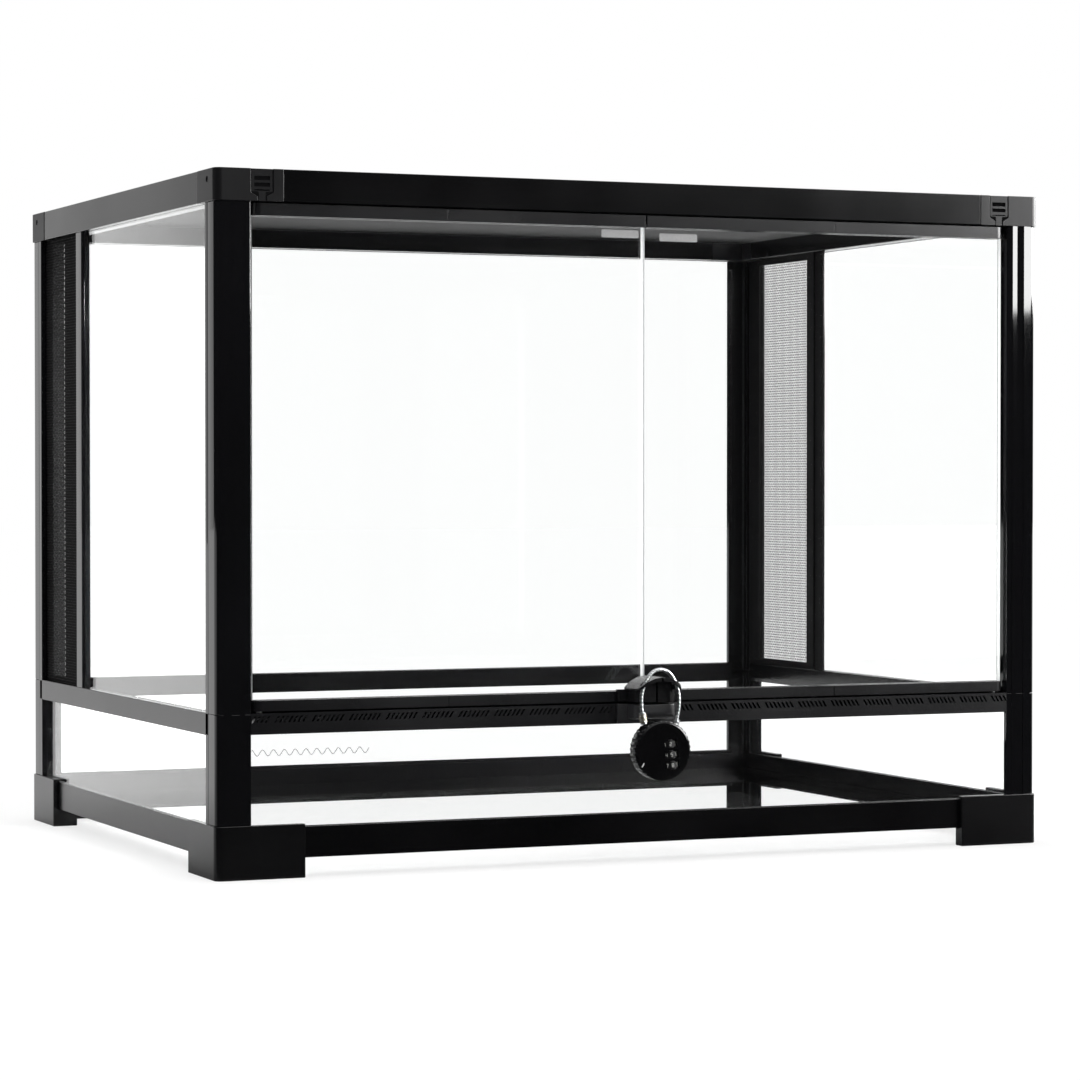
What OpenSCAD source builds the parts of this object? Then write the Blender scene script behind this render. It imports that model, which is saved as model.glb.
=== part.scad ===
// Glass terrarium: a knock-down case of black profiles and glass panels, with two hinged front
// doors, a lift-out mesh top, mesh vents at the sides and a cable padlock on the door handles.
// Millimetres, +Z up, front towards -Y. The origin is under the middle of the whole object.

/* [Case] */
// Width of the case across the front
case_w = 600; // [560:20:800]
// Depth of the case, front to back
case_d = 440; // [420:10:560]
// Height of the case
case_h = 450; // [430:10:600]
// Thickness of every glass panel
glass_t = 4; // [3:0.5:4]
// How far the glass lies behind the outer faces of the case
glass_in = 5; // [5:0.5:6]

/* [Bottom frame] */
// Height of the corner feet
foot_h = 34.5; // [33:0.5:38]
// Length of a foot's arm along the front or the back
foot_arm_x = 60; // [45:1:80]
// Length of a foot's arm along a side
foot_arm_y = 58; // [45:1:80]
// Width of a foot's sole under a side rail
sole_side = 18; // [12:1:22]
// Width of a foot's sole under the front or the back rail
sole_front = 9; // [8:0.5:22]
// Outer wall of a foot, which the bottom rails lie behind
foot_wall = 3.5; // [2:0.5:4]
// Underside of the bottom rails above the floor
rail_z = 12.5; // [8:0.5:14]
// Height of the bottom rails
rail_h = 20; // [18:0.5:20]
// Ledge of the bottom rails, which carries the base glass
ledge_w = 22; // [16:1:30]

/* [Corner posts and middle rails] */
// Radius of the outer upright edges
edge_r = 5; // [3:0.5:6]
// Width of a post seen from the front
post_w = 24; // [20:1:30]
// Width of a post seen from the side
post_d = 18; // [16:1:26]
// Level of the joint between the lower and the upper posts
seam_z = 105; // [90:1:160]
// Height of the middle rails at the sides and the back
mid_h = 14.4; // [14:0.1:20]
// Height of the slotted vent rail under the doors
vent_h = 13.4; // [13:0.1:16]
// Outer width of the upright divider between side glass and side mesh
divider_w = 14; // [10:1:20]
// Distance from the back of the case to the middle of the divider
divider_from_back = 124.5; // [90:0.5:180]

/* [Vent slots] */
// Distance between slots in a group
slot_pitch = 3.1; // [2.5:0.1:4]
// Width of a slot along the rail
slot_w = 1.5; // [1:0.1:1.8]
// Sideways lean of a slot, towards the middle of the rail at its top
slot_lean = 2.4; // [0:0.1:3]
// Height of a slot
slot_h = 4; // [3:0.1:4.2]
// Distance between groups of slots
group_pitch = 25.1; // [24:0.1:30]
// Distance from the middle of the rail to the first group of slots
group_start = 14.6; // [10:0.1:20]

/* [Top frame and mesh top] */
// Height of the top frame
top_h = 20.7; // [20:0.1:24]
// Width of the top frame's ledge, seen from above
top_w = 20; // [16:1:26]
// Length of a top corner piece along the front or the back
corner_arm_x = 46; // [42:1:70]
// Length of a top corner piece along a side
corner_arm_y = 36; // [30:1:60]
// Depth of the recess that the mesh top lies in
lid_drop = 7; // [5:0.5:8]
// Width of the mesh top's frame
lid_bar = 13; // [10:1:20]

/* [Doors] */
// Distance from the side of the case to a door's pivot
pivot_in = 31.5; // [31:0.5:34]
// Radius of the rounded hinge end of a door strip, which is half its depth
strip_r = 6; // [5.5:0.1:6]
// Height of the strip along a door's lower edge
low_strip_h = 7; // [7:0.1:9]
// Height of the strip along a door's upper edge
top_strip_h = 8; // [8:0.1:10]
// Radius of the hinge pins
pin_r = 2; // [1.6:0.1:2.4]
// Radial play between a hinge pin and its hole
pin_play = 0.05; // [0.02:0.01:0.1]

/* [Handle and padlock] */
// How far the middle of the padlock hangs in front of the case
lock_out = 20; // [19:0.5:24]
// Thickness of the padlock
lock_t = 12; // [12:0.5:14]
// Radius of the padlock's round case
lock_r = 19.3; // [18.5:0.1:22]
// Height of the padlock's middle above the floor
lock_z = 75.4; // [74:0.1:76]
// Lean of the hanging padlock, in degrees
lock_lean = 7; // [0:1:10]
// Radius of the number dials
dial_r = 5.9; // [5.5:0.1:5.9]
// Distance between the number dials
dial_pitch = 7; // [6.6:0.1:7]
// Radius of the steel cable
cable_r = 1.25; // [1:0.05:1.4]
// Half the greatest width of the cable loop
loop_half = 13.7; // [13:0.1:14]

/* [Hidden] */
$fn = 64;

// Case planes. The padlock stands out in front, so the case lies a little behind the origin.
reach = lock_out + lock_t / 2;
half_w = case_w / 2;
half_d = case_d / 2;
case_y = reach / 2;
LEFT = -1;
RIGHT = 1;
FRONT = -1;
BACK = 1;
eps = 0.1;

// Glass and the grooves that hold it
groove_w = glass_t + 0.2;
groove_end = glass_in + groove_w;
panel_in = 12;
panel_fit = 0.1;
glass_play = 0.2;

// Levels
rail_top = rail_z + rail_h;
ledge_t = 4;
bottom_groove = 8.5;
mid_top = seam_z + 0.4;
mid_groove = 6;
top_z = case_h - top_h;
lid_z = case_h - lid_drop;
top_groove = 6.7;
post_inset = 1;
rail_inner = 11;
mid_inner = 12;

// Doors
pivot_x = half_w - pivot_in;
pivot_v = 8;
door_gap = 0.7;
glass_gap = 0.5;
glass_side = 5;
low_strip_z = mid_top + 1.1;
low_strip_top = low_strip_z + low_strip_h;
top_strip_top = top_z - 0.8;
top_strip_z = top_strip_top - top_strip_h;
bite = 2.7;
bore_depth = 3.7;
top_bore_depth = 4.5;
strip_seam_x = pivot_x * 0.525;

// Hinge sliders, set in the front top corners
slide_w = 14.5;
stem_w = 5.5;
slide_t = 3.3;
slide_low = top_z + 5.7;
stem_top = top_z + 3.2;
slide_play = 0.15;
stem_in = 11;
web_h = 3.5;

// Handle: a low arched canopy over a body, in two halves, above a fixed block
canopy_half = 16;
canopy_crest = seam_z + 18.5;
canopy_tip = seam_z + 11;
canopy_t = 2.5;
tip_t = 1.5;
canopy_out = lock_out + 4;
canopy_r = 7;
body_half = 15;
body_out = 15;
body_r = 6;
handle_z = mid_top + 1.4;
plate_half = 22;
plate_h = 8;
cable_hole_r = 3;
cable_hole_x = 11.2;

// Cable loop: a top arc, two flank arcs and two nearly straight legs, all tangent
loop_z = lock_z + 32.6;
loop_top_r = 10;
loop_rise = 10.5;
flank_r = (loop_half * loop_half + loop_rise * loop_rise - loop_top_r * loop_top_r)
    / (2 * (loop_half - loop_top_r));
flank_angle = atan2(loop_rise, flank_r - loop_half);
leg_r = 48;
left_leg_drop = 7.7;
right_leg_drop = 12.5;
left_leg = asin(left_leg_drop / leg_r);
right_leg = asin(right_leg_drop / leg_r);
ferrule_r = 2.2;
left_ferrule = 7.6;
right_ferrule = 3.2;

// Padlock dials
dial_x = 5.3;
dial_low = -10.4;
dial_t = 5.6;
dial_room = 0.3;
window_half_w = 4.6;
window_half_h = 2.3;
axle_r = 1.2;
axle_play = 0.05;
axle_over = 4.6;

// --- Placing -------------------------------------------------------------------------------

// Children are drawn with x and y as distances inwards from the corner's two outer faces
module at_corner(side, face) {
    translate([side * half_w, case_y + face * half_d, 0])
        mirror([side > 0 ? 1 : 0, 0, 0]) mirror([0, face > 0 ? 1 : 0, 0]) children();
}

// Children are drawn with y as the distance inwards from the front or back face
module at_face(face) {
    translate([0, case_y + face * half_d, 0]) mirror([0, face > 0 ? 1 : 0, 0]) children();
}

// Children are drawn with x as the distance inwards from a side face
module at_side(side) {
    translate([side * half_w, case_y, 0]) mirror([side > 0 ? 1 : 0, 0, 0]) children();
}

module at_door(side) {
    at_face(FRONT) mirror([side < 0 ? 1 : 0, 0, 0]) children();
}

// A profile of inward distance and height, run along X or along Y
module run_x(length, points) {
    rotate([90, 0, 90]) linear_extrude(length, center = true) polygon(points);
}

module run_y(length, points) {
    rotate([90, 0, 0]) linear_extrude(length, center = true) polygon(points);
}

module block(low, high) {
    translate(low) cube(high - low);
}

// --- Profiles ------------------------------------------------------------------------------

bottom_profile = [
    [foot_wall, rail_z], [foot_wall, rail_top], [glass_in, rail_top], [glass_in, rail_top - bottom_groove],
    [groove_end, rail_top - bottom_groove], [groove_end, rail_top], [rail_inner, rail_top],
    [rail_inner, rail_z + ledge_t], [ledge_w, rail_z + ledge_t], [ledge_w, rail_z]
];

mid_z = mid_top - mid_h;
mid_profile = [
    [post_inset, mid_z], [post_inset, mid_top], [glass_in, mid_top], [glass_in, mid_top - mid_groove],
    [groove_end, mid_top - mid_groove], [groove_end, mid_top], [mid_inner, mid_top], [mid_inner, mid_z],
    [groove_end, mid_z], [groove_end, mid_z + mid_groove], [glass_in, mid_z + mid_groove], [glass_in, mid_z]
];

vent_z = mid_top - vent_h;
vent_wall = 3;
vent_flange = 1.5;
slot_drop = 0.4;
vent_groove = 6.2;
vent_shelf = 6.5;
vent_profile = [
    [post_inset, vent_z], [post_inset, mid_top], [mid_inner, mid_top], [mid_inner, mid_top - vent_flange],
    [post_inset + vent_wall, mid_top - vent_flange], [post_inset + vent_wall, vent_z + vent_shelf],
    [mid_inner, vent_z + vent_shelf], [mid_inner, vent_z], [groove_end, vent_z],
    [groove_end, vent_z + vent_groove], [glass_in, vent_z + vent_groove], [glass_in, vent_z]
];

top_inset = 0.3;
top_groove_points = [
    [top_w, top_z], [groove_end, top_z], [groove_end, top_z + top_groove],
    [glass_in, top_z + top_groove], [glass_in, top_z]
];
top_outline = [
    [top_inset, top_z], [top_inset, case_h], [slide_t, case_h], [slide_t, lid_z], [top_w, lid_z]
];
top_profile = concat(top_outline, top_groove_points);
front_top_profile = concat(top_outline, [[top_w, top_z]]);

// Rectangle from the corner, with its outer corner rounded
module corner_plate(arm_x, arm_y, r) {
    translate([r, 0]) square([arm_x - r, arm_y]);
    translate([0, r]) square([arm_x, arm_y - r]);
    translate([r, r]) circle(r);
}

// L in plan, from the corner
module corner_plan(arm_x, arm_y, leg_x, leg_y, r) {
    difference() {
        corner_plate(arm_x, arm_y, r);
        translate([leg_x, leg_y]) square([arm_x, arm_y]);
    }
}

module level(low, high) {
    translate([0, 0, low]) linear_extrude(high - low) children();
}

// --- Bottom frame --------------------------------------------------------------------------

module foot(side, face) {
    color("#1b1b1c") at_corner(side, face) {
        level(0, rail_z) corner_plan(foot_arm_x, foot_arm_y, sole_side, sole_front, edge_r);
        level(rail_z, rail_top) corner_plan(foot_arm_x, foot_arm_y, foot_wall, foot_wall, edge_r);
        level(rail_top, foot_h) corner_plan(foot_arm_x, foot_arm_y, glass_in, glass_in, edge_r);
    }
}

// Mitred at 45 degrees at both ends
module mitre(half_length) {
    level(0, case_h) polygon([[-half_length, 0], [half_length, 0],
        [half_length - 2 * ledge_w, 2 * ledge_w], [2 * ledge_w - half_length, 2 * ledge_w]]);
}

module bottom_rail_x(face) {
    color("#202022") at_face(face) intersection() {
        run_x(case_w, bottom_profile);
        mitre(half_w);
    }
}

module bottom_rail_y(side) {
    color("#202022") at_side(side) intersection() {
        run_y(case_d, bottom_profile);
        rotate([0, 0, -90]) mitre(half_d);
    }
}

module base_glass() {
    inset = rail_inner + 0.5;
    color("#cfe6e0", 0.35) translate([0, case_y, rail_z + ledge_t + glass_t / 2])
        cube([case_w - 2 * inset, case_d - 2 * inset, glass_t], center = true);
}

// --- Posts, middle rails and fixed panels ----------------------------------------------------

module post(side, face, low, high) {
    color("#0e0e0f") at_corner(side, face) level(low, high) {
        translate([post_inset, post_inset])
            corner_plan(post_w - post_inset, post_d - post_inset, glass_in - post_inset,
                glass_in - post_inset, edge_r);
        translate([glass_in, glass_in]) square(rail_inner - glass_in);
    }
}

module panel_x(face, low, high) {
    color("#cfe6e0", 0.35) at_face(face)
        block([panel_in - half_w, glass_in + panel_fit, low],
            [half_w - panel_in, glass_in + panel_fit + glass_t, high]);
}

// A side panel between two distances from the middle of the case
module panel_y(side, y0, y1, low, high) {
    color("#cfe6e0", 0.35) at_side(side)
        block([glass_in + panel_fit, y0, low], [glass_in + panel_fit + glass_t, y1, high]);
}

low_glass_z = rail_top - bottom_groove + glass_play;
low_glass_top = mid_z + mid_groove - glass_play;
high_glass_z = mid_top - mid_groove + glass_play;
high_glass_top = top_z + top_groove - glass_play;

module vent_slot(x) {
    slot_z = mid_top - vent_flange - slot_h - slot_drop;
    polygon([[x, slot_z], [x + slot_w, slot_z], [x + slot_w - slot_lean, slot_z + slot_h],
        [x - slot_lean, slot_z + slot_h]]);
}

module vent_rail() {
    end_x = half_w - post_w + 1;
    groups = floor(end_x / group_pitch);
    color("#232325") at_face(FRONT) difference() {
        run_x(2 * (half_w - post_w), vent_profile);
        for (side = [0, 1]) mirror([side, 0, 0]) rotate([90, 0, 0])
            translate([0, 0, -post_inset - vent_wall - eps]) linear_extrude(vent_wall + 2 * eps)
                for (group = [0:groups], slot = [0:6]) {
                    x = group * group_pitch + slot * slot_pitch + group_start;
                    if (x > plate_half + slot_lean + 1 && x < end_x - slot_w) vent_slot(x);
                }
    }
}

module mid_rail_x(face) {
    color("#202022") at_face(face) run_x(2 * (half_w - post_w), mid_profile);
}

module mid_rail_y(side) {
    color("#202022") at_side(side) run_y(2 * (half_d - post_d), mid_profile);
}

divider_y = half_d - divider_from_back;
divider_core = 3;
divider_flange = [-15.5, 8.5];
divider_flange_t = 2;

module divider(side) {
    web_in = groove_end + 0.2;
    color("#0e0e0f") at_side(side) translate([0, divider_y, 0]) {
        block([post_inset, -divider_w / 2, mid_top], [glass_in, divider_w / 2, top_z]);
        block([glass_in, -divider_core, mid_top], [web_in, divider_core, top_z]);
        block([web_in, divider_flange[0], mid_top],
            [web_in + divider_flange_t, divider_flange[1], top_z]);
    }
}

mesh_t = 1;
vent_side_border = 5.7;
vent_back_border = 27;
vent_low_border = 4.6;
vent_top_border = 4.3;

// Mesh sheet on a flat frame, drawn as distance along the side and height
module side_mesh(side) {
    low = [divider_y + divider_core + 0.3, high_glass_z];
    high = [half_d - panel_in, high_glass_top];
    open_low = [low.x + vent_side_border, mid_top + vent_low_border];
    open_high = [high.x - vent_back_border, top_z - vent_top_border];
    color("#3a3b3d") at_side(side) translate([glass_in + panel_fit, 0, 0]) rotate([90, 0, 90]) {
        linear_extrude(mesh_t) translate(low) square(high - low);
        level(mesh_t, glass_t) difference() {
            translate(low) square(high - low);
            translate(open_low) square(open_high - open_low);
        }
    }
}

// --- Top frame -------------------------------------------------------------------------------

// Outline of a hinge slider's front, as x and height about its middle line
module slider_outline(grow) {
    polygon([[-slide_w / 2 - grow, case_h + grow], [-slide_w / 2 - grow, slide_low - grow],
        [-stem_w / 2 - grow, stem_top - grow], [-stem_w / 2 - grow, top_z - grow],
        [stem_w / 2 + grow, top_z - grow], [stem_w / 2 + grow, stem_top - grow],
        [slide_w / 2 + grow, slide_low - grow], [slide_w / 2 + grow, case_h + grow]]);
}

module slider_plate(depth, grow) {
    translate([0, depth, 0]) rotate([90, 0, 0]) linear_extrude(depth + grow) slider_outline(grow);
}

module top_corner(side, face) {
    slot = stem_w / 2 + slide_play;
    screw_r = 1.9;
    screw_depth = 1.2;
    screw_y = 16;
    screw_drop = 6.5;
    color("#2b2b2d") at_corner(side, face) difference() {
        union() {
            level(top_z, lid_z) corner_plan(corner_arm_x, corner_arm_y, top_w, top_w, edge_r);
            level(lid_z, case_h) corner_plan(corner_arm_x, corner_arm_y, slide_t, slide_t, edge_r);
        }
        block([glass_in, rail_inner, top_z - 1], [groove_end, case_d / 4, top_z + top_groove]);
        if (face == BACK)
            block([rail_inner, glass_in, top_z - 1], [case_w / 4, groove_end, top_z + top_groove]);
        if (face == FRONT) translate([pivot_in, 0, 0]) {
            slider_plate(slide_t, slide_play);
            block([-slot, -1, top_z - 1], [slot, stem_in + slide_play, lid_z + 1]);
        }
        // Dimple for the corner screw, in the side face
        translate([0, screw_y, case_h - screw_drop]) rotate([0, 90, 0])
            cylinder(r = screw_r, h = 2 * screw_depth, center = true);
    }
}

module top_rail_x(face) {
    color("#202022") at_face(face) run_x(case_w - 2 * corner_arm_x,
        face == FRONT ? front_top_profile : top_profile);
}

module top_rail_y(side) {
    color("#202022") at_side(side) run_y(case_d - 2 * corner_arm_y, top_profile);
}

// --- Mesh top --------------------------------------------------------------------------------

lid_inset = slide_t + 0.4;
lid_sheet_z = lid_z + 0.2;
lid_size = [case_w - 2 * lid_inset, case_d - 2 * lid_inset];
lid_opening = [lid_size.x - 2 * lid_bar, lid_size.y - 2 * lid_bar];
lid_sheet_in = 2;

module lid_frame() {
    color("#1b1b1c") translate([0, case_y, 0]) level(lid_sheet_z + mesh_t, case_h - 2)
        difference() {
            square(lid_size, center = true);
            square(lid_opening, center = true);
        }
}

module lid_mesh() {
    color("#3a3b3d") translate([0, case_y, 0]) level(lid_sheet_z, lid_sheet_z + mesh_t)
        square([lid_size.x - 2 * lid_sheet_in, lid_size.y - 2 * lid_sheet_in], center = true);
}

// --- Doors -----------------------------------------------------------------------------------

module door_glass(side) {
    color("#cfe6e0", 0.35) at_door(side)
        block([glass_gap, pivot_v - glass_t / 2, low_strip_top - bite + 0.1],
            [pivot_x + glass_side, pivot_v + glass_t / 2, top_strip_z + bite - 0.1]);
}

// A strip along a door's edge, rounded about the pivot
module door_strip(low, high) {
    seam = 0.4;
    difference() {
        union() {
            block([door_gap, pivot_v - strip_r, low], [pivot_x, pivot_v + strip_r, high]);
            translate([pivot_x, pivot_v, low]) cylinder(r = strip_r, h = high - low);
        }
        block([strip_seam_x, pivot_v - strip_r - 1, low - 1],
            [strip_seam_x + seam, pivot_v - strip_r + seam, high + 1]);
    }
}

module strip_groove(low, high) {
    half_groove = glass_t / 2 + 0.1;
    block([-door_gap, pivot_v - half_groove, low],
        [pivot_x + glass_side + 0.2, pivot_v + half_groove, high]);
}

module door_low_strip(side) {
    color("#232325") at_door(side) difference() {
        door_strip(low_strip_z, low_strip_top);
        strip_groove(low_strip_top - bite, low_strip_top + 1);
        translate([pivot_x, pivot_v, low_strip_z - 1]) cylinder(r = pin_r + pin_play, h = bore_depth + 1);
    }
}

module door_top_strip(side) {
    color("#232325") at_door(side) difference() {
        door_strip(top_strip_z, top_strip_top);
        strip_groove(top_strip_z - 1, top_strip_z + bite);
        translate([pivot_x, pivot_v, top_strip_top - top_bore_depth])
            cylinder(r = pin_r + pin_play, h = top_bore_depth + 1);
    }
}

module lower_hinge_pins() {
    color("#9a9c9f") for (side = [LEFT, RIGHT]) at_door(side)
        translate([pivot_x, pivot_v, mid_top]) cylinder(r = pin_r, h = bore_depth + 0.8);
}

module hinge_slider(side) {
    // Height and size of each grip groove
    grips = [[7.6, 2.7], [3.6, 2.5], [1, 0.8]];
    grip_border = 2;
    grip_depth = 1;
    front = 0.2;
    color("#1b1b1c") at_door(side) translate([pivot_x, 0, 0]) {
        difference() {
            intersection() {
                slider_plate(slide_t - front, 0);
                block([-slide_w, front, top_z + 0.1], [slide_w, slide_t, case_h - front]);
            }
            for (grip = grips)
                block([grip_border - slide_w / 2, 0, slide_low + grip[0]],
                    [slide_w / 2 - grip_border, grip_depth, slide_low + grip[0] + grip[1]]);
        }
        block([-stem_w / 2, slide_t - front, top_z + 0.1], [stem_w / 2, stem_in, top_z + web_h]);
        translate([0, pivot_v, top_strip_top - top_bore_depth + 0.3])
            cylinder(r = pin_r, h = top_bore_depth + 1);
    }
}

// --- Handle and catch --------------------------------------------------------------------------

// Half a plan, with its front corner rounded
module half_plan(half, out, back, r) {
    translate([0, -out + r]) square([half, out - r + back]);
    translate([0, -out]) square([half - r, out]);
    translate([half - r, -out + r]) circle(r);
}

// Solid under an arch that falls from crest to tip over the canopy's half width
module under_arch(crest, tip) {
    drop = crest - tip;
    r = (canopy_half * canopy_half + drop * drop) / (2 * drop);
    translate([0, 0, crest - r]) rotate([90, 0, 0]) cylinder(r = r, h = 100, center = true, $fn = 128);
}

module door_handle(side) {
    back = pivot_v - strip_r;
    color("#141415") at_door(side) difference() {
        union() {
            block([door_gap, -1, handle_z], [plate_half, back, handle_z + plate_h]);
            intersection() {
                level(handle_z, canopy_crest) half_plan(body_half, body_out, back, body_r);
                under_arch(canopy_crest - canopy_t / 2, canopy_tip - tip_t / 2);
            }
            intersection() {
                level(handle_z + plate_h / 2, canopy_crest + 1)
                    half_plan(canopy_half, canopy_out, back, canopy_r);
                difference() {
                    under_arch(canopy_crest, canopy_tip);
                    under_arch(canopy_crest - canopy_t, canopy_tip - tip_t);
                }
            }
        }
        block([-canopy_half, -canopy_out - 1, 0], [door_gap, back + 1, case_h]);
        translate([cable_hole_x, -lock_out, handle_z]) cylinder(r = cable_hole_r, h = 40);
    }
}

module catch_block() {
    low = mid_top - 9.9;
    high = mid_top - 0.2;
    round_r = 5;
    color("#2b2b2d") at_face(FRONT) {
        block([-plate_half, -1, vent_z + 0.5], [plate_half, post_inset, high]);
        intersection() {
            level(low, high) for (side = [0, 1]) mirror([side, 0, 0])
                half_plan(body_half, body_out, 0, body_r);
            rotate([90, 0, 90]) linear_extrude(2 * body_half, center = true) {
                translate([-body_out, low + round_r]) square([body_out, high - low - round_r]);
                translate([round_r - body_out, low]) square([body_out - round_r, high - low]);
                translate([round_r - body_out, low + round_r]) circle(round_r);
            }
        }
    }
}

// --- Padlock -----------------------------------------------------------------------------------

module at_lock() {
    at_face(FRONT) translate([0, -lock_out, lock_z]) rotate([0, -lock_lean, 0]) children();
}

// Children are drawn at each dial's middle
module at_dial(number) {
    translate([dial_x, 0, dial_low + number * dial_pitch]) children();
}

// Half of the round case, flat at its middle plane, with finger grips on its two sides
module lock_half() {
    half = lock_t / 2;
    rim = 1.6;
    grip_r = 1.5;
    grip_out = 0.6;
    grip_turn = 11.5;
    rotate_extrude($fn = 128) {
        square([lock_r - rim, half]);
        square([lock_r, half - rim]);
        translate([lock_r - rim, half - rim]) circle(rim);
    }
    for (turn = [0, 180], grip = [-2.5:1:2.5])
        rotate([0, 0, turn + grip * grip_turn]) translate([lock_r + grip_out - grip_r, 0, 0])
            cylinder(r = grip_r, h = half - rim - 0.4);
}

module dial_pockets() {
    for (number = [0:2]) at_dial(number) {
        rotate([0, 0, 45]) cylinder(r = dial_r + dial_room, h = dial_t + 0.5, center = true);
        block([-window_half_w, -lock_t / 2 - 1, -window_half_h],
            [window_half_w, 2.3 - lock_t / 2, window_half_h]);
    }
}

module axle() {
    translate([dial_x, 0, dial_low - axle_over]) rotate([0, 0, 45])
        cylinder(r = axle_r, h = 2 * (dial_pitch + axle_over));
}

module padlock_front() {
    color("#161617") at_lock() difference() {
        rotate([90, 0, 0]) lock_half();
        dial_pockets();
        axle();
    }
}

module padlock_back() {
    color("#161617") at_lock() {
        difference() {
            rotate([-90, 0, 0]) lock_half();
            dial_pockets();
        }
        axle();
    }
}

module dial(number) {
    color("#101011") at_lock() at_dial(number) difference() {
        cylinder(r = dial_r, h = dial_t, center = true);
        cylinder(r = axle_r + axle_play, h = dial_t + 1, center = true);
    }
}

// An arc of cable about the middle of its circle, from one angle to another
module cable_arc(r, from, to) {
    rotate([90, 0, 0]) rotate([0, 0, from]) rotate_extrude(angle = to - from, $fn = 128)
        translate([r, 0]) circle(cable_r, $fn = 32);
}

// One side of the loop, with its leg and ferrule
module loop_side(leg_angle, ferrule_length) {
    translate([loop_half - flank_r, 0, loop_z]) cable_arc(flank_r, 0, flank_angle);
    translate([loop_half - leg_r, 0, loop_z]) cable_arc(leg_r, -leg_angle, 0);
    translate([loop_half - leg_r + leg_r * cos(leg_angle), 0, loop_z - leg_r * sin(leg_angle)])
        rotate([0, leg_angle, 0]) translate([0, 0, -ferrule_length])
            cylinder(r = ferrule_r, h = ferrule_length);
}

module padlock_cable() {
    color("#c4c6c8") at_face(FRONT) translate([0, -lock_out, 0]) {
        translate([0, 0, loop_z + loop_rise]) cable_arc(loop_top_r, flank_angle, 180 - flank_angle);
        loop_side(right_leg, right_ferrule);
        mirror([1, 0, 0]) loop_side(left_leg, left_ferrule);
    }
}

// --- Build -------------------------------------------------------------------------------------

foot(LEFT, FRONT);  // foot_front_left
foot(RIGHT, FRONT);  // foot_front_right
foot(LEFT, BACK);  // foot_back_left
foot(RIGHT, BACK);  // foot_back_right
bottom_rail_x(FRONT);  // bottom_rail_front
bottom_rail_x(BACK);  // bottom_rail_back
bottom_rail_y(LEFT);  // bottom_rail_left
bottom_rail_y(RIGHT);  // bottom_rail_right
base_glass();
post(LEFT, FRONT, foot_h, seam_z);  // lower_post_front_left
post(RIGHT, FRONT, foot_h, seam_z);  // lower_post_front_right
post(LEFT, BACK, foot_h, seam_z);  // lower_post_back_left
post(RIGHT, BACK, foot_h, seam_z);  // lower_post_back_right
panel_x(FRONT, low_glass_z, vent_z + vent_groove - glass_play);  // lower_glass_front
panel_x(BACK, low_glass_z, low_glass_top);  // lower_glass_back
panel_y(LEFT, panel_in - half_d, half_d - panel_in, low_glass_z, low_glass_top);  // lower_glass_left
panel_y(RIGHT, panel_in - half_d, half_d - panel_in, low_glass_z, low_glass_top);  // lower_glass_right
vent_rail();
mid_rail_x(BACK);  // mid_rail_back
mid_rail_y(LEFT);  // mid_rail_left
mid_rail_y(RIGHT);  // mid_rail_right
post(LEFT, FRONT, seam_z, top_z);  // upper_post_front_left
post(RIGHT, FRONT, seam_z, top_z);  // upper_post_front_right
post(LEFT, BACK, seam_z, top_z);  // upper_post_back_left
post(RIGHT, BACK, seam_z, top_z);  // upper_post_back_right
panel_x(BACK, high_glass_z, high_glass_top);  // back_glass
panel_y(LEFT, panel_in - half_d, divider_y - divider_core - 0.3, high_glass_z, high_glass_top);  // side_glass_left
panel_y(RIGHT, panel_in - half_d, divider_y - divider_core - 0.3, high_glass_z, high_glass_top);  // side_glass_right
side_mesh(LEFT);  // side_mesh_left
side_mesh(RIGHT);  // side_mesh_right
divider(LEFT);  // divider_left
divider(RIGHT);  // divider_right
top_corner(LEFT, FRONT);  // top_corner_front_left
top_corner(RIGHT, FRONT);  // top_corner_front_right
top_corner(LEFT, BACK);  // top_corner_back_left
top_corner(RIGHT, BACK);  // top_corner_back_right
top_rail_x(FRONT);  // top_rail_front
top_rail_x(BACK);  // top_rail_back
top_rail_y(LEFT);  // top_rail_left
top_rail_y(RIGHT);  // top_rail_right
lower_hinge_pins();
catch_block();
lid_frame();
lid_mesh();
door_glass(LEFT);  // door_glass_left
door_glass(RIGHT);  // door_glass_right
door_top_strip(LEFT);  // door_top_strip_left
door_top_strip(RIGHT);  // door_top_strip_right
door_low_strip(LEFT);  // door_low_strip_left
door_low_strip(RIGHT);  // door_low_strip_right
door_handle(LEFT);  // door_handle_left
door_handle(RIGHT);  // door_handle_right
hinge_slider(LEFT);  // hinge_slider_left
hinge_slider(RIGHT);  // hinge_slider_right
padlock_front();
padlock_back();
padlock_cable();
dial(2);  // dial_top
dial(1);  // dial_middle
dial(0);  // dial_bottom
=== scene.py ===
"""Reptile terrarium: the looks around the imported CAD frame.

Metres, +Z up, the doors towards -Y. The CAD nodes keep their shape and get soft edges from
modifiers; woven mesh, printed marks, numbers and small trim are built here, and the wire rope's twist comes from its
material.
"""

import math

import bmesh
import bpy
from mathutils import Matrix, Vector


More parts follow.
